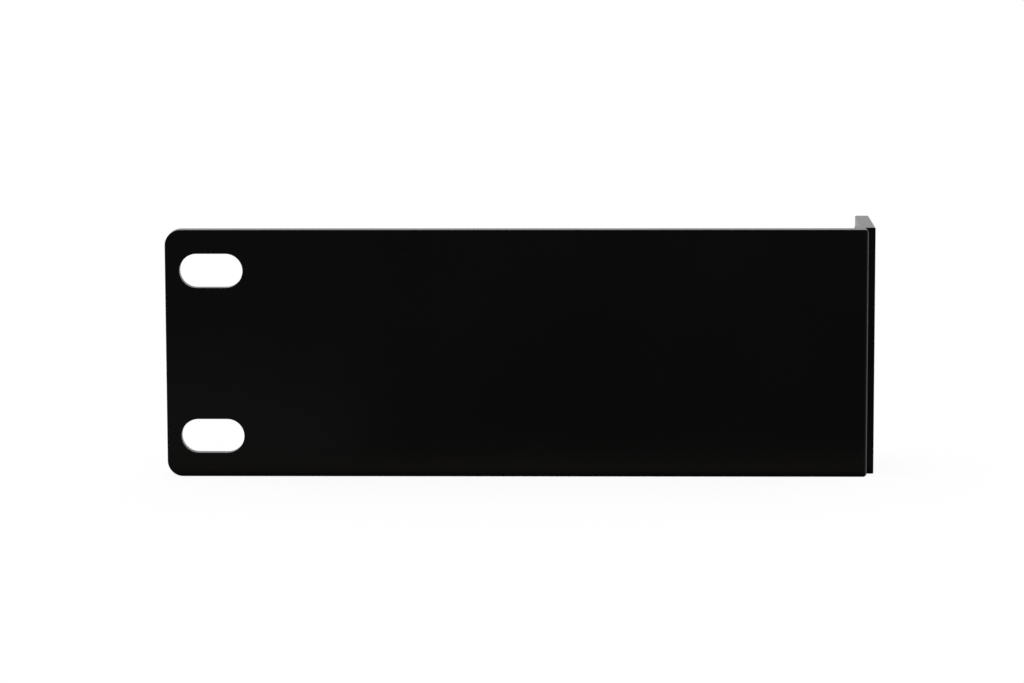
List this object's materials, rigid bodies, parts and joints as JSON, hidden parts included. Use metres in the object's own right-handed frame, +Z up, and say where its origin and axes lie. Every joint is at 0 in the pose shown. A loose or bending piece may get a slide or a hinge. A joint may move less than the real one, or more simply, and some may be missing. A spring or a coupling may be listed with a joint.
{
  "type": "rack mount ear bracket",
  "caption": "Black L-shaped rack ear: a long flat front plate with horizontal slots at its free end and a short stepped flange with countersunk holes that screws to a device's side.",
  "frame": {"origin": "on the back face of the front plate, which seats on the rack rail, midway between the centres of its two slots", "axes": "+X along the plate from its slotted free edge towards the device, +Y from front to back, +Z up along the plate's height"},
  "size_m": [0.135, 0.025, 0.0474],
  "materials": {
    "black_anodised": "satin"
  },
  "bodies": {
    "root": {"ear_bracket": "black_anodised"}
  },
  "joints": []
}
